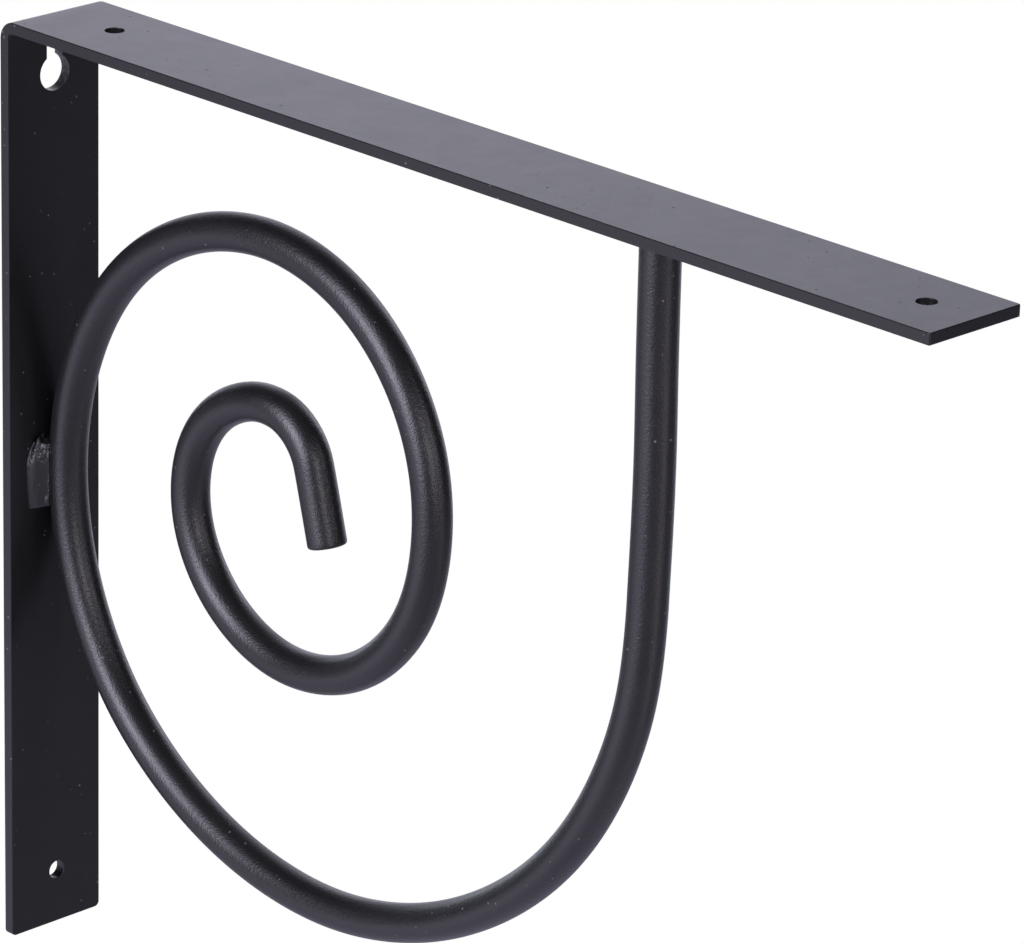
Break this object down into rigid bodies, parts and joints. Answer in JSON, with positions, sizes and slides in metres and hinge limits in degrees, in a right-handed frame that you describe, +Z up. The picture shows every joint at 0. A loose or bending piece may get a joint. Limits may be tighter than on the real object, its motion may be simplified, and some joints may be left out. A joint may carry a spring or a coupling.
{
  "type": "shelf bracket",
  "caption": "L-shaped flat-bar shelf bracket, braced by a round rod bent into a spiral scroll, with a keyhole and screw holes.",
  "frame": {"origin": "on the back of the wall arm, halfway down it and in the middle of its width, where it lies on the wall", "axes": "+X out from the wall along the shelf arm, +Y across the bar, +Z up"},
  "size_m": [0.312, 0.03, 0.25],
  "materials": {
    "strap_coat": "satin black powder coat with fine specks",
    "rod_coat": "satin black powder coat with a fine sparkling orange peel",
    "weld_coat": "black powder coat over rough weld metal"
  },
  "bodies": {
    "root": {"strap": "strap_coat", "scroll_rod": "rod_coat", "wall_weld": "weld_coat", "shelf_weld": "weld_coat"}
  },
  "joints": []
}
